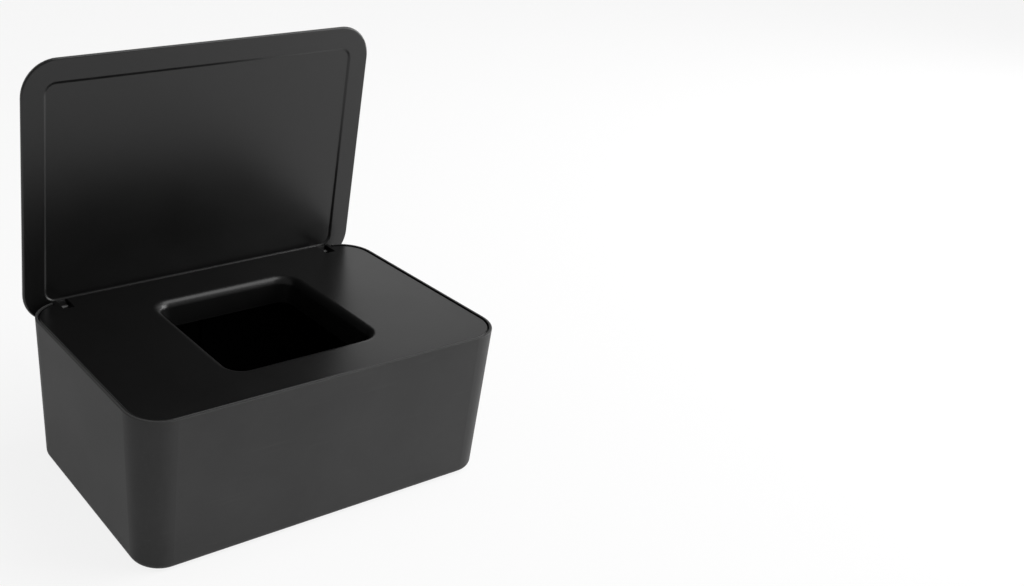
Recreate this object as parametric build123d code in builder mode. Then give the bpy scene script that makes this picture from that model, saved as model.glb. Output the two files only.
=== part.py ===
# Countertop wipes dispenser: an open-topped box, a lift-out inner cover with a rounded dispensing
# opening, and a flip lid hinged on the cover's back edge. Millimetres, +Z up, the back towards +Y.
# The origin is the centre of the base on the surface that the box stands on. The lid stands open
# and leans a little forward over its hinge, where its lugs rest on their stops.
from build123d import *
import os
from math import cos, radians, sin, tan

os.makedirs("parts", exist_ok=True)

# ---- Box ----
box_length = 190.0  # outside of the rim, along X
box_depth = 124.0  # outside of the rim, along Y
rim_height = 75.0  # top of the rim above the table
rim_corner_radius = 17.0
draft_angle = 2.6  # degrees, the lean of every upright wall
wall = 1.5
floor_thickness = 2.4
base_edge_radius = 3.5
floor_edge_radius = 3.0
rim_edge_radius = 0.45

# ---- Support ribs inside the box, which carry the inner cover ----
rib_width = 2.0
rib_lead = 0.6  # how far a rib reaches in past the inside of the cover's skirt
long_rib_inset = 37.0  # outer ribs of the long walls, from the ends of the rim
short_rib_inset = 33.0  # ribs of the short walls, from the long sides of the rim

# ---- Anti-slip feet ----
foot_radius = 7.0
foot_thickness = 1.4
foot_proud = 0.25  # how far the feet stand below the box
foot_pocket_clearance = 0.2
foot_inset = 26.0  # foot centre from the outside of the rim

# ---- Inner cover ----
cover_gap = 0.35  # between the cover and the inside of the rim
cover_drop = 0.4  # the cover's face lies this far below the rim
cover_thickness = 2.0
cover_edge_radius = 0.6
flange_reach = 1.9  # the back flange passes this far behind the box's rim
flange_clearance = 0.3  # between the flange and the lowered back rim
skirt_height = 13.0  # from the cover's face down to the skirt's edge
skirt_thickness = 2.0
opening_length = 76.0
opening_depth = 75.0
opening_corner_radius = 8.0
opening_set_back = 0.7  # the opening's centre behind the cover's centre
lip_radius = 4.0  # rolled edge round the opening
sleeve_depth = 13.0
sleeve_wall = 2.0
sleeve_draft = 8.0  # degrees

# ---- Seal ring in the skirt's groove ----
seal_height = 2.4
seal_edge_land = 1.2  # skirt left below the groove
groove_depth = 1.0
seal_proud = 0.22
seal_fit = 0.05  # clearance in the groove

# ---- Hinge ----
hinge_inset = 19.6  # hinge centre in from the end of the rim
pin_inset = 0.55  # pin axis in from the outside of the back rim
pin_drop = 4.3  # pin axis below the top of the rim
pin_radius = 1.0
pin_press_clearance = 0.02  # in the cover's ears, which grip the pin
pin_running_clearance = 0.05  # in the lid's lug, which turns on it
knuckle_wall = 1.1
lug_width = 5.0
ear_width = 2.4
ear_gap = 0.3  # each side of the lug
stop_gap = 0.1  # under the open lug
stop_thickness = 1.6
stop_reach = 3.6  # the stop runs this far back from the pin axis
notch_clearance = 0.4  # round the ears where they pass through the rim
pocket_reach = 6.4  # the hinge pocket runs this far in from the cover's back edge
pocket_wall = 1.5

# ---- Lid ----
lid_lean = 4.3  # degrees, the open lid stands this far short of upright
lid_side_inset = 1.2
lid_front_overhang = 0.5
lid_back_overhang = 8.2
lid_corner_radius = 17.2
lid_rest_gap = 0.3  # between the rim and the closed lid
lid_thickness = 2.2
lid_edge_radius = 0.9
brim_width = 10.8  # flat border round the recessed panel
recess_depth = 0.6
recess_draft = 60.0  # degrees, the slope of the recess's sides
recess_corner_radius = 6.0
recess_mouth_radius = 1.2
recess_root_radius = 1.2
panel_wall = 2.2
panel_edge_radius = 0.4

# ---- Heights and places that follow ----
base_z = foot_proud
floor_z = base_z + floor_thickness
cover_z = rim_height - cover_drop
cover_seat_z = cover_z - skirt_height
back_y = box_depth / 2
pin_y = back_y - pin_inset
pin_z = rim_height - pin_drop
knuckle_radius = pin_radius + knuckle_wall
flange_back_y = back_y + flange_reach
flange_low_z = cover_z - cover_thickness
hinge_places = (hinge_inset - box_length / 2, box_length / 2 - hinge_inset)
bay_width = lug_width + 2 * ear_gap
ear_span = bay_width + 2 * ear_width
stop_top_z = pin_z - knuckle_radius - stop_gap
stop_low_z = stop_top_z - stop_thickness


def lean(height):
    """How far a drafted wall has moved in at a height below the rim."""
    return (rim_height - height) * tan(radians(draft_angle))


def downward(height, y=0.0):
    """A plane at a height that faces down, so that its extrusions taper downwards."""
    return Plane(origin=(0, y, height), x_dir=(1, 0, 0), z_dir=(0, 0, -1))


def hinge_plane(x):
    """A plane across a hinge at its pin axis, turned with the open lid: X towards the lid's face."""
    lean_angle = radians(lid_lean)
    return Plane(
        origin=(x, pin_y, pin_z), x_dir=(0, cos(lean_angle), sin(lean_angle)), z_dir=(1, 0, 0)
    )


def outline(inset):
    """The box's rounded outline, moved in by an inset, in the sketch that is open."""
    return RectangleRounded(
        box_length - 2 * inset, box_depth - 2 * inset, rim_corner_radius - inset
    )


# ---- Box ----
# The hollow is one tapered block, cut back where the support ribs stand.
rib_reach = cover_gap + lean(cover_seat_z) + skirt_thickness + rib_lead
rib_block = rib_reach + wall
long_rib_place = (box_length / 2 - long_rib_inset, back_y - rib_block / 2)
short_rib_place = (box_length / 2 - rib_block / 2, back_y - short_rib_inset)

with BuildPart() as hollow:
    with BuildSketch(downward(rim_height)):
        outline(wall)
    extrude(amount=rim_height - floor_z, taper=draft_angle)
    fillet(hollow.edges().group_by(Axis.Z)[0], floor_edge_radius)
    with BuildSketch(Plane.XY.offset(floor_z)):
        with GridLocations(long_rib_place[0], 2 * long_rib_place[1], 3, 2):
            Rectangle(rib_width, rib_block)
        with GridLocations(2 * short_rib_place[0], 2 * short_rib_place[1], 2, 2):
            Rectangle(rib_block, rib_width)
    extrude(amount=cover_seat_z - floor_z, mode=Mode.SUBTRACT)

# The back rim is lowered under the cover's flange. Two deeper notches let its hinge ears through.
notch_width = ear_span + 2 * notch_clearance
notch_low_z = stop_low_z - notch_clearance
flange_width = hinge_places[1] - hinge_places[0] + ear_span
lowered_width = flange_width + 2 * notch_clearance
lowered_z = flange_low_z - flange_clearance
foot_spacing = (box_length - 2 * foot_inset, box_depth - 2 * foot_inset)

with BuildPart() as box:
    with BuildSketch(downward(rim_height)):
        outline(0)
    extrude(amount=rim_height - base_z, taper=draft_angle)
    fillet(box.edges().group_by(Axis.Z)[0], base_edge_radius)
    add(hollow.part, mode=Mode.SUBTRACT)
    fillet(box.faces().sort_by(Axis.Z)[-1].edges(), rim_edge_radius)
    with BuildSketch(Plane.XY.offset(notch_low_z)):
        with Locations(*[(x, back_y - wall / 2) for x in hinge_places]):
            Rectangle(notch_width, 2 * (wall + knuckle_radius))
    extrude(amount=rim_height - notch_low_z, mode=Mode.SUBTRACT)
    with BuildSketch(Plane.XY.offset(lowered_z)):
        with Locations((0, back_y - wall / 2)):
            Rectangle(lowered_width, 2 * (wall + knuckle_radius))
    extrude(amount=rim_height - lowered_z, mode=Mode.SUBTRACT)
    with BuildSketch(Plane.XY.offset(base_z)):
        with GridLocations(*foot_spacing, 2, 2):
            Circle(foot_radius + foot_pocket_clearance)
    extrude(amount=foot_thickness - foot_proud, mode=Mode.SUBTRACT)
box.part.label = "box"
export_step(box.part, "parts/box.step")

# ---- Feet ----
# Four round silicone pads glued in shallow pockets under the box.
foot_places = {
    "foot_front_left": (-foot_spacing[0] / 2, -foot_spacing[1] / 2),
    "foot_back_left": (-foot_spacing[0] / 2, foot_spacing[1] / 2),
    "foot_front_right": (foot_spacing[0] / 2, -foot_spacing[1] / 2),
    "foot_back_right": (foot_spacing[0] / 2, foot_spacing[1] / 2),
}
for name, place in foot_places.items():
    with BuildPart() as foot:
        with BuildSketch():
            with Locations(place):
                Circle(foot_radius)
        extrude(amount=foot_thickness)
    foot.part.label = name
    export_step(foot.part, "parts/" + name + ".step")

# ---- Inner cover ----
# A face with a skirt that stands on the ribs, and a back flange over the lowered rim. A drafted
# sleeve with a rolled lip makes the dispensing opening. Two hinge pockets under the face reach back
# through the rim's notches as ears that hold the pins. A pocket's floor is the stop that the lid's
# lug rests on when it is open.
cover_inset = wall + cover_gap
cover_back_y = back_y - cover_inset
flange_root_y = cover_back_y - skirt_thickness
groove_z = cover_seat_z + seal_edge_land
groove_inset = cover_inset + lean(groove_z + seal_height / 2) + groove_depth
pocket_front_y = cover_back_y - pocket_reach

with BuildPart() as inner_cover:
    with BuildSketch(downward(cover_z)):
        outline(cover_inset)
    extrude(amount=skirt_height, taper=draft_angle)
    with BuildSketch(downward(cover_z - cover_thickness)):
        outline(cover_inset + skirt_thickness)
    extrude(amount=skirt_height - cover_thickness, taper=draft_angle, mode=Mode.SUBTRACT)
    with BuildSketch(Plane.XY.offset(flange_low_z)):
        with Locations((0, flange_root_y)):
            Rectangle(
                flange_width, flange_back_y - flange_root_y, align=(Align.CENTER, Align.MIN)
            )
    extrude(amount=cover_thickness)
    with BuildSketch(downward(cover_z, opening_set_back)):
        RectangleRounded(
            opening_length + 2 * sleeve_wall,
            opening_depth + 2 * sleeve_wall,
            opening_corner_radius + sleeve_wall,
        )
    extrude(amount=sleeve_depth, taper=sleeve_draft)
    with BuildSketch(downward(cover_z, opening_set_back)):
        RectangleRounded(opening_length, opening_depth, opening_corner_radius)
    extrude(amount=sleeve_depth, taper=sleeve_draft, mode=Mode.SUBTRACT)
    face = inner_cover.faces().sort_by(Axis.Z)[-1]
    fillet(face.inner_wires().edges(), lip_radius)
    underside = inner_cover.faces().filter_by(Axis.Z).group_by(Axis.Z)[-2].sort_by(SortBy.AREA)[-1]
    fillet(underside.inner_wires().edges(), lip_radius - sleeve_wall)
    face = inner_cover.faces().sort_by(Axis.Z)[-1]
    fillet(face.outer_wire().edges(), cover_edge_radius)
    with BuildSketch(Plane.XY.offset(groove_z)):
        outline(0)
        with BuildSketch(mode=Mode.SUBTRACT):
            outline(groove_inset)
    extrude(amount=seal_height, mode=Mode.SUBTRACT)
    for hinge_x in hinge_places:
        with BuildSketch(Plane.YZ.offset(hinge_x - ear_span / 2)):
            with BuildLine():
                Polyline(
                    (pocket_front_y - pocket_wall, stop_low_z),
                    (pin_y + stop_reach, stop_low_z),
                    (pin_y + stop_reach, stop_top_z),
                    (pin_y + knuckle_radius, pin_z),
                    (pin_y + knuckle_radius, flange_low_z),
                    (pocket_front_y - pocket_wall, flange_low_z),
                    close=True,
                )
            make_face()
            with Locations((pin_y, pin_z)):
                Circle(knuckle_radius)
        extrude(amount=ear_span)
        with BuildSketch(hinge_plane(hinge_x - bay_width / 2)):
            with Locations((pocket_front_y - pin_y, -knuckle_radius - stop_gap)):
                Rectangle(
                    2 * (pin_y - pocket_front_y),
                    2 * (cover_z - stop_top_z),
                    align=(Align.MIN, Align.MIN),
                )
        extrude(amount=bay_width, mode=Mode.SUBTRACT)
        with BuildSketch(Plane.YZ.offset(hinge_x - ear_span / 2)):
            with Locations((pin_y, pin_z)):
                Circle(pin_radius + pin_press_clearance)
        extrude(amount=ear_span, mode=Mode.SUBTRACT)
inner_cover.part.label = "inner_cover"
export_step(inner_cover.part, "parts/inner_cover.step")

# ---- Seal ring ----
# Silicone ring in the skirt's groove. It wipes the inside of the box below the rim's notches.
with BuildPart() as cover_seal:
    with BuildSketch(Plane.XY.offset(groove_z + seal_fit)):
        outline(groove_inset - groove_depth - seal_proud)
        with BuildSketch(mode=Mode.SUBTRACT):
            outline(groove_inset - seal_fit)
    extrude(amount=seal_height - 2 * seal_fit)
cover_seal.part.label = "cover_seal"
export_step(cover_seal.part, "parts/cover_seal.step")

# ---- Hinge pins ----
for name, hinge_x in zip(("hinge_pin_left", "hinge_pin_right"), hinge_places):
    with BuildPart() as hinge_pin:
        with BuildSketch(Plane.YZ.offset(hinge_x - ear_span / 2)):
            with Locations((pin_y, pin_z)):
                Circle(pin_radius)
        extrude(amount=ear_span)
    hinge_pin.part.label = name
    export_step(hinge_pin.part, "parts/" + name + ".step")

# ---- Lid ----
# Modelled open, on its leaning inner face. That face stands behind the pins as far as the closed
# lid lies above them, and the lid's edge behind the pins hangs below the rim.
lid_face_reach = pin_drop + lid_rest_gap
lid_front_reach = pin_y + box_depth / 2 + lid_front_overhang
lid_back_reach = pin_inset + lid_back_overhang
lid_length = box_length - 2 * lid_side_inset
lid_depth = lid_front_reach + lid_back_reach
lid_middle = (lid_front_reach - lid_back_reach) / 2
pin_middle = hinge_plane(0)
lid_axis = Axis(pin_middle.origin, pin_middle.x_dir)
lid_plane = Plane(
    origin=pin_middle.origin + pin_middle.x_dir * lid_face_reach,
    x_dir=(1, 0, 0),
    z_dir=-pin_middle.x_dir,
)


def lid_outline(inset, corner_radius):
    """The lid's rounded outline, moved in by an inset, in the sketch on its plane that is open."""
    with Locations((0, lid_middle)):
        RectangleRounded(lid_length - 2 * inset, lid_depth - 2 * inset, corner_radius)


with BuildPart() as lid:
    with BuildSketch(lid_plane):
        lid_outline(0, lid_corner_radius)
    extrude(amount=-lid_thickness)
    fillet(lid.faces().filter_by(lid_axis).edges(), lid_edge_radius)
    with BuildSketch(lid_plane):
        lid_outline(brim_width - panel_wall, recess_corner_radius + panel_wall)
    extrude(amount=-(recess_depth + lid_thickness))
    fillet(lid.faces().sort_by(lid_axis)[-1].edges(), panel_edge_radius)
    with BuildSketch(lid_plane):
        lid_outline(brim_width, recess_corner_radius)
    extrude(amount=-recess_depth, taper=recess_draft, mode=Mode.SUBTRACT)
    recess_floor = lid.faces().filter_by(lid_axis).sort_by(lid_axis)[1]
    fillet(recess_floor.outer_wire().edges(), recess_root_radius)
    brim_face = lid.faces().filter_by(lid_axis).sort_by(lid_axis)[0]
    fillet(brim_face.inner_wires().edges(), recess_mouth_radius)
    for hinge_x in hinge_places:
        with BuildSketch(hinge_plane(hinge_x - lug_width / 2)):
            Circle(knuckle_radius)
            Rectangle(
                lid_face_reach + lid_edge_radius,
                2 * knuckle_radius,
                align=(Align.MIN, Align.CENTER),
            )
            Circle(pin_radius + pin_running_clearance, mode=Mode.SUBTRACT)
        extrude(amount=lug_width)
lid.part.label = "lid"
export_step(lid.part, "parts/lid.step")
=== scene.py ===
import math
import bpy
import numpy as np
from mathutils import Matrix, Vector


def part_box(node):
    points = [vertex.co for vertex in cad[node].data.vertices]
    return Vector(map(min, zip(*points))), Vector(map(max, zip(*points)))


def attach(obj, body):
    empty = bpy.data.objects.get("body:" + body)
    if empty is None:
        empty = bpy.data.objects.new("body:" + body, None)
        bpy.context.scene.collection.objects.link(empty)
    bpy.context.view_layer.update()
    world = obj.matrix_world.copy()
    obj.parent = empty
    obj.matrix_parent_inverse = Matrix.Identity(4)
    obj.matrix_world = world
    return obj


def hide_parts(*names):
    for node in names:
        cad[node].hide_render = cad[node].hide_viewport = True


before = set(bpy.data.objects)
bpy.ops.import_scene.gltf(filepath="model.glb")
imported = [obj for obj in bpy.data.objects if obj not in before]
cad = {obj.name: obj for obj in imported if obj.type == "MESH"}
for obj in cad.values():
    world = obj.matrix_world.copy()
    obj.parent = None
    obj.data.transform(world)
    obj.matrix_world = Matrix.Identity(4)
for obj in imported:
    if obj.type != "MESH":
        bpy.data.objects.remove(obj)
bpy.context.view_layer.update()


# ---- Camera, table and studio ----
# The box stands on a plain pale table in a white room with a backdrop behind it, seen from its
# front left corner and a little above. Two soft panels light it from the right, one of them high.
camera_place = Vector((-0.27758, -0.43043, 0.32521))
camera_azimuth = math.radians(30.524)  # from -Y towards -X
camera_elevation = math.radians(22.371)
camera_roll = math.radians(1.497)
sensor_width = 36.0
frame_width = 1024  # pixels
frame_height = 586
focal_length = 1212.4  # pixels
nearest_seen = 0.01
picture_centre = (222.0, 240.0)  # pixels, where the camera's axis meets the frame


def camera_matrix(place, azimuth, elevation, roll):
    """Looks from the place at the object: a turn from -Y towards -X, a dip, and a roll."""
    back = Vector(
        (
            -math.sin(azimuth) * math.cos(elevation),
            -math.cos(azimuth) * math.cos(elevation),
            math.sin(elevation),
        )
    )
    right = (-back).cross(Vector((0, 0, 1))).normalized()
    up = right.cross(-back)
    rolled_right = right * math.cos(roll) + up * math.sin(roll)
    rolled_up = up * math.cos(roll) - right * math.sin(roll)
    turn = Matrix((rolled_right, rolled_up, back)).transposed()
    return Matrix.Translation(place) @ turn.to_4x4()


camera_lens = bpy.data.cameras.new("camera")
camera_lens.sensor_width = sensor_width
camera_lens.lens = focal_length / frame_width * sensor_width
camera_lens.shift_x = (frame_width / 2 - picture_centre[0]) / frame_width
camera_lens.shift_y = (picture_centre[1] - frame_height / 2) / frame_width
camera_lens.clip_start = nearest_seen
camera = bpy.data.objects.new("camera", camera_lens)
camera.matrix_world = camera_matrix(camera_place, camera_azimuth, camera_elevation, camera_roll)
bpy.context.scene.collection.objects.link(camera)
bpy.context.scene.camera = camera
bpy.context.scene.view_settings.view_transform = "Standard"


def place_node(tree, kind, sockets=None, **settings):
    """Adds a shader node. Sockets are linked to another node's socket or set to a value."""
    made = tree.nodes.new(kind)
    for name, value in settings.items():
        setattr(made, name, value)
    for name, value in (sockets or {}).items():
        if isinstance(value, bpy.types.NodeSocket):
            tree.links.new(value, made.inputs[name])
        else:
            made.inputs[name].default_value = value
    return made


def white_share(tree, direct, mirrored):
    """The share of plain white that the camera's own rays see, and the mirrored or bent ones."""
    path = place_node(tree, "ShaderNodeLightPath")
    indirect = place_node(
        tree,
        "ShaderNodeMath",
        {0: path.outputs["Is Glossy Ray"], 1: path.outputs["Is Transmission Ray"]},
        operation="MAXIMUM",
    )
    indirect_share = place_node(
        tree, "ShaderNodeMath", {0: indirect.outputs[0], 1: mirrored}, operation="MULTIPLY"
    )
    return place_node(
        tree,
        "ShaderNodeMath",
        {0: path.outputs["Is Camera Ray"], 1: direct, 2: indirect_share.outputs[0]},
        operation="MULTIPLY_ADD",
    ).outputs[0]


room_light = 0.38  # the room's own brightness, as the object's surfaces receive it
room = bpy.data.worlds.new("white_room")
room.use_nodes = True
room.node_tree.nodes.clear()
room_glow = place_node(room.node_tree, "ShaderNodeBackground", {"Strength": room_light})
room_white = place_node(room.node_tree, "ShaderNodeBackground", {"Strength": 1.0})
room_mix = place_node(
    room.node_tree,
    "ShaderNodeMixShader",
    {
        0: white_share(room.node_tree, 1.0, 0.0),
        1: room_glow.outputs[0],
        2: room_white.outputs[0],
    },
)
place_node(room.node_tree, "ShaderNodeOutputWorld", {"Surface": room_mix.outputs[0]})
bpy.context.scene.world = room

sheet_tone = 0.9


def stage_sheet(name, corners, direct, mirrored):
    """A flat four-cornered part of the studio, plain white for a share of what is seen of it."""
    mesh = bpy.data.meshes.new(name)
    mesh.from_pydata(corners, [], [(0, 1, 2, 3)])
    sheet = bpy.data.objects.new(name, mesh)
    bpy.context.scene.collection.objects.link(sheet)
    paint = bpy.data.materials.new("pale_" + name)
    paint.use_nodes = True
    paint.node_tree.nodes.clear()
    lit = place_node(
        paint.node_tree,
        "ShaderNodeBsdfDiffuse",
        {"Color": (sheet_tone, sheet_tone, sheet_tone, 1.0)},
    )
    white = place_node(paint.node_tree, "ShaderNodeEmission", {"Strength": 1.0})
    mix = place_node(
        paint.node_tree,
        "ShaderNodeMixShader",
        {
            0: white_share(paint.node_tree, direct, mirrored),
            1: lit.outputs[0],
            2: white.outputs[0],
        },
    )
    place_node(paint.node_tree, "ShaderNodeOutputMaterial", {"Surface": mix.outputs[0]})
    mesh.materials.append(paint)


# The table keeps a share of its own light, and with it the object's shadow.
table_half = 4.0
backdrop_place = 2.5
backdrop_height = 2.5
stage_sheet(
    "table",
    [
        (-table_half, -table_half, 0.0),
        (table_half, -table_half, 0.0),
        (table_half, backdrop_place, 0.0),
        (-table_half, backdrop_place, 0.0),
    ],
    direct=0.85,
    mirrored=0.75,
)
stage_sheet(
    "backdrop",
    [
        (-table_half, backdrop_place, 0.0),
        (table_half, backdrop_place, 0.0),
        (table_half, backdrop_place, backdrop_height),
        (-table_half, backdrop_place, backdrop_height),
    ],
    direct=1.0,
    mirrored=0.85,
)

panel_aim = Vector((0.0, 0.0, 0.06))


def soft_panel(name, place, width, height, watts):
    """A rectangular soft light that faces the object."""
    lamp = bpy.data.lights.new(name, "AREA")
    lamp.shape = "RECTANGLE"
    lamp.size = width
    lamp.size_y = height
    lamp.energy = watts
    panel = bpy.data.objects.new(name, lamp)
    panel.matrix_world = Matrix.Translation(place) @ (
        (panel_aim - Vector(place)).to_track_quat("-Z", "Y").to_matrix().to_4x4()
    )
    bpy.context.scene.collection.objects.link(panel)


soft_panel("panel_high_right", place=(0.75, -0.3, 1.3), width=1.0, height=1.0, watts=10.0)
soft_panel("panel_right", place=(1.05, -0.38, 0.4), width=0.9, height=0.7, watts=11.5)


# ---- Box ----
# An injection-moulded black plastic tub with drafted walls. Its skin has a fine satin grain, and
# the edges that hands and cloths rub are a little polished and paler.
def new_effect(name, wanted, given):
    """A shader node group with float inputs and their defaults, and named outputs."""
    tree = bpy.data.node_groups.new(name, "ShaderNodeTree")
    for socket, value in wanted.items():
        made = tree.interface.new_socket(socket, in_out="INPUT", socket_type="NodeSocketFloat")
        made.default_value = value
    for socket in given:
        tree.interface.new_socket(socket, in_out="OUTPUT", socket_type="NodeSocketFloat")
    return tree, place_node(tree, "NodeGroupInput"), place_node(tree, "NodeGroupOutput")


def object_place(tree, size):
    """The point on the object divided by a pattern size in metres."""
    place = place_node(tree, "ShaderNodeTexCoord").outputs["Object"]
    share = place_node(tree, "ShaderNodeMath", {0: 1.0, 1: size}, operation="DIVIDE")
    return place_node(
        tree, "ShaderNodeVectorMath", {0: place, "Scale": share.outputs[0]}, operation="SCALE"
    ).outputs[0]


def stretch(tree, mask, levels=(0.0, 1.0), values=(0.0, 1.0)):
    """A mask that runs between two levels, brought to run between two values."""
    return place_node(
        tree,
        "ShaderNodeMapRange",
        {0: mask, 1: levels[0], 2: levels[1], 3: values[0], 4: values[1]},
    ).outputs[0]


# Spark-eroded mould grain: fine rounded cells, broken up by a second, finer noise.
mould_grain, grain_in, grain_out = new_effect("mould_grain", {"Size": 0.0006}, ("Height",))
grain_place = object_place(mould_grain, grain_in.outputs["Size"])
grain_cells = place_node(
    mould_grain,
    "ShaderNodeTexVoronoi",
    {"Vector": grain_place, "Scale": 1.0, "Smoothness": 0.6},
    feature="SMOOTH_F1",
)
grain_noise = place_node(
    mould_grain, "ShaderNodeTexNoise", {"Vector": grain_place, "Scale": 1.7, "Detail": 2.0}
)
grain_sum = place_node(
    mould_grain,
    "ShaderNodeMath",
    {0: grain_cells.outputs["Distance"], 1: grain_noise.outputs["Fac"]},
    operation="ADD",
)
mould_grain.links.new(grain_sum.outputs[0], grain_out.inputs["Height"])

# Edge wear: where a rounded-off normal leaves the surface's own, broken up by a noise.
wear_agreements = (0.995, 0.9)  # how far the two normals agree where wear starts, and is full
wear_levels = (0.35, 0.65)  # the noise where a patch of wear starts, and is full
edge_wear, wear_in, wear_out = new_effect(
    "edge_wear", {"Width": 0.0006, "Patch Size": 0.006}, ("Mask",)
)
wear_round = place_node(
    edge_wear, "ShaderNodeBevel", {"Radius": wear_in.outputs["Width"]}, samples=6
)
wear_own = place_node(edge_wear, "ShaderNodeNewGeometry")
wear_agreement = place_node(
    edge_wear,
    "ShaderNodeVectorMath",
    {0: wear_round.outputs["Normal"], 1: wear_own.outputs["Normal"]},
    operation="DOT_PRODUCT",
)
wear_edge = stretch(edge_wear, wear_agreement.outputs["Value"], wear_agreements)
wear_noise = place_node(
    edge_wear,
    "ShaderNodeTexNoise",
    {"Vector": object_place(edge_wear, wear_in.outputs["Patch Size"]), "Detail": 4.0},
)
wear_patches = stretch(edge_wear, wear_noise.outputs["Fac"], wear_levels)
wear_mask = place_node(
    edge_wear, "ShaderNodeMath", {0: wear_edge, 1: wear_patches}, operation="MULTIPLY"
)
edge_wear.links.new(wear_mask.outputs[0], wear_out.inputs["Mask"])

# Handling: broad soft smears from hands and cloths, and short fine scuffs across them.
scuff_turn = (0.4, 0.9, 0.6)  # radians
scuff_shape = (0.14, 2.0, 2.0)  # long and thin
scuff_levels = (0.62, 0.78)  # the noise where a scuff starts, and is full
handling, handling_in, handling_out = new_effect(
    "handling", {"Smear Size": 0.05, "Scuff Size": 0.004}, ("Smears", "Scuffs")
)
smear_noise = place_node(
    handling,
    "ShaderNodeTexNoise",
    {
        "Vector": object_place(handling, handling_in.outputs["Smear Size"]),
        "Scale": 1.0,
        "Detail": 5.0,
        "Roughness": 0.6,
        "Distortion": 0.4,
    },
)
scuff_stretch = place_node(
    handling,
    "ShaderNodeMapping",
    {
        "Vector": object_place(handling, handling_in.outputs["Scuff Size"]),
        "Rotation": scuff_turn,
        "Scale": scuff_shape,
    },
)
scuff_noise = place_node(
    handling,
    "ShaderNodeTexNoise",
    {"Vector": scuff_stretch.outputs[0], "Scale": 1.0, "Detail": 3.0},
)
scuff_lines = stretch(handling, scuff_noise.outputs["Fac"], scuff_levels)
handling.links.new(smear_noise.outputs["Fac"], handling_out.inputs["Smears"])
handling.links.new(scuff_lines, handling_out.inputs["Scuffs"])


def effect(tree, group, **values):
    """Places a node group in a material, with its own values."""
    made = place_node(tree, "ShaderNodeGroup", node_tree=group)
    for name, value in values.items():
        made.inputs[name.replace("_", " ").title()].default_value = value
    return made.outputs


def blend_tones(tree, share, first, second):
    """A share from 0 to 1 between two colours."""
    colour_share, colour_first, colour_second, colour_result = 0, 6, 7, 2
    return place_node(
        tree,
        "ShaderNodeMix",
        {colour_share: share, colour_first: first, colour_second: second},
        data_type="RGBA",
    ).outputs[colour_result]


def grey(level):
    return (level, level, level, 1.0)


smear_levels = (0.3, 0.7)  # the smear noise where a surface is clean, and fully smeared
smear_tones = (0.9, 1.1)  # times the plastic's tone, clean and smeared
smear_satins = (0.92, 1.1)  # times its satin
scuff_share = 0.12  # how much of a scuff's tone shows
scuff_tone = 2.0  # times the plastic's tone
wear_share = 0.6  # how much of a worn edge's tone shows
wear_tone = 3.0  # times the plastic's tone
wear_satin = 0.75  # times its satin
# Painted shade: the tub's inside is darkened to this share of the plastic's tone.
inside_shade_tone = 0.1  # times the plastic's tone


def moulded_plastic(name, tone, satin, grain_size, grain_depth, gloss, inside_shade_group=None):
    """Black plastic: its tone and satin drift where hands and cloths pass, short scuffs and worn
    edges are paler, and a mould grain of a given size and depth breaks the reflection, whose
    strength is the gloss. The skin that the given shade group marks is painted in deep shade."""
    material = bpy.data.materials.new(name)
    material.use_nodes = True
    tree = material.node_tree
    shader = tree.nodes["Principled BSDF"]
    shader.inputs["Specular IOR Level"].default_value = gloss
    touched = effect(tree, handling)
    worn = effect(tree, edge_wear)["Mask"]
    plain = blend_tones(
        tree,
        stretch(tree, touched["Smears"], levels=smear_levels),
        grey(tone * smear_tones[0]),
        grey(tone * smear_tones[1]),
    )
    scuffed = blend_tones(
        tree,
        stretch(tree, touched["Scuffs"], values=(0.0, scuff_share)),
        plain,
        grey(tone * scuff_tone),
    )
    worn_tone_and_shade = blend_tones(
        tree, stretch(tree, worn, values=(0.0, wear_share)), scuffed, grey(tone * wear_tone)
    )
    # Painted shade: where the shade group marks, the colour is darkened to a deep black.
    if inside_shade_group:
        inside_shade_mask = effect(tree, inside_shade_group)["Mask"]
        worn_tone_and_shade = blend_tones(tree, inside_shade_mask, worn_tone_and_shade, grey(tone * inside_shade_tone))
    tree.links.new(worn_tone_and_shade, shader.inputs["Base Color"])
    smeared_satin = stretch(
        tree,
        touched["Smears"],
        levels=smear_levels,
        values=(satin * smear_satins[0], satin * smear_satins[1]),
    )
    worn_satin = place_node(
        tree,
        "ShaderNodeMath",
        {0: smeared_satin, 1: stretch(tree, worn, values=(1.0, wear_satin))},
        operation="MULTIPLY",
    )
    tree.links.new(worn_satin.outputs[0], shader.inputs["Roughness"])
    grain = effect(tree, mould_grain, size=grain_size)["Height"]
    relief = place_node(
        tree,
        "ShaderNodeBump",
        {"Height": grain, "Distance": grain_depth, "Strength": 1.0},
    )
    tree.links.new(relief.outputs["Normal"], shader.inputs["Normal"])
    return material


def finish_node(node, material):
    """Gives a CAD node its finished material."""
    for place in cad[node].material_slots:
        place.material = material


def node_box(node):
    """The lowest and the highest corner of a CAD node, in metres."""
    low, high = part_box(node)
    return np.array(low), np.array(high)


# The tub's inner skin, which the wipes lie against, is painted in deep shade: all that is
# closer to the middle than the rounded, drafted outline moved in by most of the wall, and above
# the middle of the floor.
box_low, box_high = node_box("box")
rim_half_length, rim_half_depth = -box_low[:2]
rim_height = box_high[2]
rim_corner = 0.017
wall_draft = math.radians(2.6)
wall_slope = math.tan(wall_draft)
skin_depth = 0.0012
floor_middle = 0.0012
painted_inside_shade, _, skin_out = new_effect("painted_inside_shade", {}, ("Mask",))
skin_place = place_node(painted_inside_shade, "ShaderNodeTexCoord").outputs["Object"]
skin_folded = place_node(
    painted_inside_shade, "ShaderNodeVectorMath", {0: skin_place}, operation="ABSOLUTE"
)
skin_past = place_node(
    painted_inside_shade,
    "ShaderNodeVectorMath",
    {
        0: skin_folded.outputs[0],
        1: (rim_half_length - rim_corner, rim_half_depth - rim_corner, 1.0),
    },
    operation="SUBTRACT",
)
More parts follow.
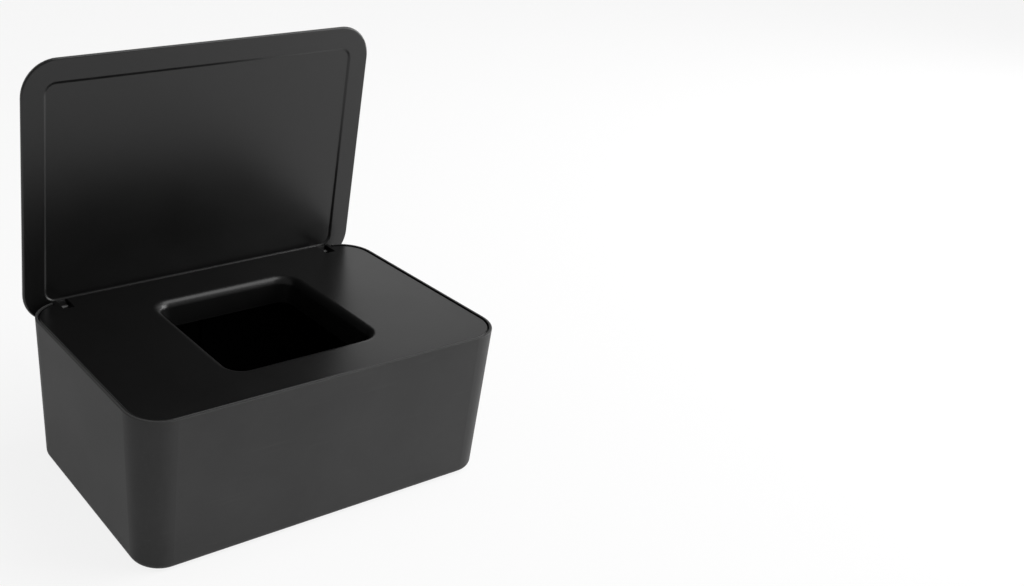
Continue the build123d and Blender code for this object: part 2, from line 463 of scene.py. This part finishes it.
skin_corner = place_node(
    painted_inside_shade,
    "ShaderNodeVectorMath",
    {0: skin_past.outputs[0], 1: (0.0, 0.0, 0.0)},
    operation="MAXIMUM",
)
skin_reach = place_node(
    painted_inside_shade, "ShaderNodeVectorMath", {0: skin_corner.outputs[0]}, operation="LENGTH"
)
skin_height = place_node(painted_inside_shade, "ShaderNodeSeparateXYZ", {0: skin_place}).outputs["Z"]
skin_radius = place_node(
    painted_inside_shade,
    "ShaderNodeMath",
    {0: skin_height, 1: wall_slope, 2: rim_corner - rim_height * wall_slope - skin_depth},
    operation="MULTIPLY_ADD",
)
skin_within = place_node(
    painted_inside_shade,
    "ShaderNodeMath",
    {0: skin_reach.outputs["Value"], 1: skin_radius.outputs[0]},
    operation="LESS_THAN",
)
skin_above = place_node(
    painted_inside_shade, "ShaderNodeMath", {0: skin_height, 1: floor_middle}, operation="GREATER_THAN"
)
skin_mask = place_node(
    painted_inside_shade,
    "ShaderNodeMath",
    {0: skin_within.outputs[0], 1: skin_above.outputs[0]},
    operation="MULTIPLY",
)
painted_inside_shade.links.new(skin_mask.outputs[0], skin_out.inputs["Mask"])

finish_node(
    "box",
    moulded_plastic(
        "satin_black_box",
        tone=0.052,
        satin=0.45,
        grain_size=0.0005,
        grain_depth=0.000012,
        gloss=0.08,
        # The box's inside gets painted shade.
        inside_shade_group=painted_inside_shade,
    ),
)


# ---- Feet ----
# Four round silicone pads glued in shallow pockets under the box. Each has a rounded rim and three
# shallow tread rings moulded in its underside.
turn_points = 96
sharp_edge_angle = math.radians(40)


def ring_faces(rows, columns, closed_rows=False):
    """Quads between neighbouring rows of a grid whose columns close on themselves."""
    row = np.arange(rows if closed_rows else rows - 1)[:, None]
    column = np.arange(columns)[None, :]
    next_row = (row + 1) % rows
    next_column = (column + 1) % columns
    return np.stack(
        (
            row * columns + column,
            row * columns + next_column,
            next_row * columns + next_column,
            next_row * columns + column,
        ),
        axis=-1,
    ).reshape(-1, 4)


def add_piece(name, points, faces, material, body, replaced):
    """A new piece from points and faces, smooth but for its sharp edges."""
    mesh = bpy.data.meshes.new(name)
    mesh.from_pydata(points.tolist(), [], faces)
    mesh.shade_smooth()
    mesh.set_sharp_from_angle(angle=sharp_edge_angle)
    mesh.materials.append(material)
    piece = bpy.data.objects.new(name, mesh)
    bpy.context.scene.collection.objects.link(piece)
    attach(piece, body)
    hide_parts(replaced)


def turned(profile, centre, axis):
    """A profile of radius and height carried round an axis through a centre, capped at both ends.
    A point at angle a is the centre + radius * (cos a * u + sin a * v) + height * axis."""
    angle = np.arange(turn_points) * 2 * np.pi / turn_points
    along = np.array(axis, dtype=float)
    side = np.roll(along, 1)
    other = np.cross(along, side)
    spoke = np.cos(angle)[:, None] * side + np.sin(angle)[:, None] * other
    points = (
        np.array(centre)
        + profile[:, 0, None, None] * spoke[None, :, :]
        + profile[:, 1, None, None] * along
    )
    faces = ring_faces(len(profile), turn_points).tolist()
    first_cap = list(range(turn_points))[::-1]
    last_cap = list(range((len(profile) - 1) * turn_points, len(profile) * turn_points))
    return points.reshape(-1, 3), [first_cap, *faces, last_cap]


silicone_gloss = 0.35
silicone_sheen = 0.1
silicone_smear_size = 0.006
silicone_scuff_size = 0.001
dust_levels = (0.4, 0.7)  # the smear noise where dust starts to lie, and lies thickest
dust_tone = 2.2  # times the silicone's tone
silicone_satins = (0.9, 1.15)  # times the silicone's satin, clean and smeared
silicone_grain_size = 0.00025
silicone_grain_depth = 0.00001


def silicone(name, tone, satin):
    """Black silicone: a soft matt skin that holds a little dust in its hollows."""
    material = bpy.data.materials.new(name)
    material.use_nodes = True
    tree = material.node_tree
    shader = tree.nodes["Principled BSDF"]
    shader.inputs["Specular IOR Level"].default_value = silicone_gloss
    shader.inputs["Sheen Weight"].default_value = silicone_sheen
    touched = effect(
        tree, handling, smear_size=silicone_smear_size, scuff_size=silicone_scuff_size
    )
    dusted = blend_tones(
        tree,
        stretch(tree, touched["Smears"], levels=dust_levels),
        grey(tone),
        grey(tone * dust_tone),
    )
    tree.links.new(dusted, shader.inputs["Base Color"])
    smeared_satin = stretch(
        tree,
        touched["Smears"],
        levels=smear_levels,
        values=(satin * silicone_satins[0], satin * silicone_satins[1]),
    )
    tree.links.new(smeared_satin, shader.inputs["Roughness"])
    grain = effect(tree, mould_grain, size=silicone_grain_size)["Height"]
    relief = place_node(
        tree, "ShaderNodeBump", {"Height": grain, "Distance": silicone_grain_depth}
    )
    tree.links.new(relief.outputs["Normal"], shader.inputs["Normal"])
    return material


foot_silicone = silicone("foot_silicone", tone=0.02, satin=0.65)
foot_rim_round = 0.00035
tread_count = 3
tread_depth = 0.00012
tread_start = 0.02  # the first point's share of the radius
tread_points = 61
round_points = 9


def foot_profile(radius, thickness):
    """From the underside's middle out, round its rim and up to the top. The underside's height is
    depth * sin(pi * count * share)^2, which is zero at the middle and at the rim."""
    share = np.linspace(tread_start, 1.0, tread_points)
    flat_radius = radius - foot_rim_round
    tread = np.stack(
        (share * flat_radius, tread_depth * np.sin(np.pi * tread_count * share) ** 2), axis=1
    )
    turn = np.linspace(0, np.pi / 2, round_points)[1:]
    rim = np.stack(
        (
            flat_radius + foot_rim_round * np.sin(turn),
            foot_rim_round * (1 - np.cos(turn)),
        ),
        axis=1,
    )
    top = np.array(((radius, thickness),))
    return np.concatenate((tread, rim, top))


for foot_name in ("foot_front_left", "foot_front_right", "foot_back_left", "foot_back_right"):
    foot_low, foot_high = node_box(foot_name)
    foot_centre = (foot_low + foot_high) / 2
    foot_centre[2] = foot_low[2]
    foot_points, foot_faces = turned(
        foot_profile((foot_high[0] - foot_low[0]) / 2, foot_high[2] - foot_low[2]),
        foot_centre,
        (0, 0, 1),
    )
    add_piece(
        foot_name + "_pad", foot_points, foot_faces, foot_silicone, "box", foot_name
    )


# ---- Inner cover ----
# A smoother black moulding that lifts out of the box. Its softly glossy skin mirrors the open lid
# and the room, and it has a faint orange peel.
finish_node(
    "inner_cover",
    moulded_plastic(
        "smooth_black_cover",
        tone=0.004,
        satin=0.3,
        grain_size=0.0016,
        grain_depth=0.000006,
        gloss=0.36,
    ),
)


# ---- Seal ring ----
# A soft silicone ring pressed into the groove of the cover's skirt. Two lips stand out from its
# band and wipe the inside of the box, which keeps the wipes moist.
seal_thickness = 0.00117  # from the groove's root out to the lips
seal_lips = 2
seal_valley = 0.00035  # how far the band lies back between and beside the lips
seal_section_points = 41
seal_corner_points = 16
seal_straight_points = 24
seal_silicone = silicone("seal_silicone", tone=0.03, satin=0.5)


def rounded_path(half_length, half_depth, radius):
    """A rounded rectangle as points and outward normals, anticlockwise. Each corner is an arc of a
    quarter turn, and the straight runs between the corners are divided evenly."""
    quarter = np.linspace(0, np.pi / 2, seal_corner_points + 1)
    points = []
    normals = []
    corners = ((1, 1, 0), (-1, 1, 1), (-1, -1, 2), (1, -1, 3))
    for x_side, y_side, quarters in corners:
        angle = quarter + quarters * np.pi / 2
        normal = np.stack((np.cos(angle), np.sin(angle)), axis=1)
        middle = np.array((x_side * (half_length - radius), y_side * (half_depth - radius)))
        points.append(middle + radius * normal)
        normals.append(normal)
    full_points = []
    full_normals = []
    share = np.linspace(0, 1, seal_straight_points + 1)[1:-1, None]
    for corner in range(len(corners)):
        start = points[corner][-1]
        end = points[(corner + 1) % len(corners)][0]
        full_points += [points[corner], start + share * (end - start)]
        full_normals += [normals[corner], np.repeat(normals[corner][-1:], len(share), axis=0)]
    return np.concatenate(full_points), np.concatenate(full_normals)


def seal_section(thickness, height):
    """The band's section as out and up. At the share s of its height its outer side is
    thickness - valley * (1 + cos(2 pi lips s)) / 2, so that the lips stand out, and its inner side
    is flat."""
    share = np.linspace(0, 1, seal_section_points)
    outer = thickness - seal_valley * (1 + np.cos(2 * np.pi * seal_lips * share)) / 2
    outer_side = np.stack((outer, share * height), axis=1)
    inner_side = np.array(((0.0, height), (0.0, height / 2), (0.0, 0.0)))
    return np.concatenate((outer_side, inner_side))


seal_low, seal_high = node_box("cover_seal")
seal_half = (seal_high - seal_low) / 2
seal_inset = (box_high[0] - box_low[0] - seal_high[0] + seal_low[0]) / 2
seal_path, seal_normals = rounded_path(seal_half[0], seal_half[1], rim_corner - seal_inset)
seal_shape = seal_section(seal_thickness, seal_high[2] - seal_low[2])
seal_across = (seal_shape[:, 0] - seal_thickness)[:, None, None] * seal_normals[None, :, :]
seal_flat = seal_path[None, :, :] + seal_across + ((seal_low + seal_high) / 2)[:2]
seal_heights = np.broadcast_to(
    (seal_low[2] + seal_shape[:, 1])[:, None, None], (*seal_flat.shape[:2], 1)
)
seal_points = np.concatenate((seal_flat, seal_heights), axis=2).reshape(-1, 3)
seal_faces = ring_faces(len(seal_shape), len(seal_path), closed_rows=True)[:, ::-1].tolist()
add_piece(
    "seal_ring", seal_points, seal_faces, seal_silicone, "cover", "cover_seal"
)


# ---- Hinge pins ----
# Two short stainless wire pins, drawn, cut and tumbled, so that their ends are rounded off. They
# are pressed into the cover's ears, and the lid's lugs turn on them.
pin_end_round = 0.00025
pin_line_scale = (150.0, 9000.0, 9000.0)  # drawn lines per metre, along and across the pin
pin_tones = (0.42, 0.55)
pin_satins = (0.2, 0.38)
pin_steel = bpy.data.materials.new("drawn_steel")
pin_steel.use_nodes = True
pin_tree = pin_steel.node_tree
pin_shader = pin_tree.nodes["Principled BSDF"]
pin_shader.inputs["Metallic"].default_value = 1.0
pin_place = place_node(pin_tree, "ShaderNodeTexCoord").outputs["Object"]
pin_drawn = place_node(
    pin_tree, "ShaderNodeMapping", {"Vector": pin_place, "Scale": pin_line_scale}
)
pin_lines = place_node(
    pin_tree,
    "ShaderNodeTexNoise",
    {"Vector": pin_drawn.outputs[0], "Scale": 1.0, "Detail": 2.0},
).outputs["Fac"]
pin_tree.links.new(
    blend_tones(pin_tree, pin_lines, grey(pin_tones[0]), grey(pin_tones[1])),
    pin_shader.inputs["Base Color"],
)
pin_tree.links.new(
    stretch(pin_tree, pin_lines, values=pin_satins), pin_shader.inputs["Roughness"]
)


def pin_profile(radius, length):
    """Along the pin: a rounded end, the straight shank and the other rounded end."""
    turn = np.linspace(0, np.pi / 2, round_points)
    end = np.stack(
        (
            radius - pin_end_round * (1 - np.sin(turn)),
            pin_end_round * (1 - np.cos(turn)),
        ),
        axis=1,
    )
    far_end = end[::-1] * (1, -1) + (0, length)
    return np.concatenate((end, far_end))


for pin_name in ("hinge_pin_left", "hinge_pin_right"):
    pin_low, pin_high = node_box(pin_name)
    pin_start = (pin_low + pin_high) / 2
    pin_start[0] = pin_low[0]
    pin_points, pin_faces = turned(
        pin_profile((pin_high[2] - pin_low[2]) / 2, pin_high[0] - pin_low[0]),
        pin_start,
        (1, 0, 0),
    )
    add_piece(
        pin_name.replace("hinge_pin", "hinge_wire"),
        pin_points,
        pin_faces,
        pin_steel,
        "cover",
        pin_name,
    )


# ---- Lid ----
# A flat black moulding with a recessed panel and two lugs that hang on the hinge pins. It has the
# box's grain, a little shallower under a glossier skin, and hands rub its brim as they lift it.
finish_node(
    "lid",
    moulded_plastic(
        "satin_black_lid",
        tone=0.005,
        satin=0.34,
        grain_size=0.0005,
        grain_depth=0.00001,
        gloss=0.5,
    ),
)
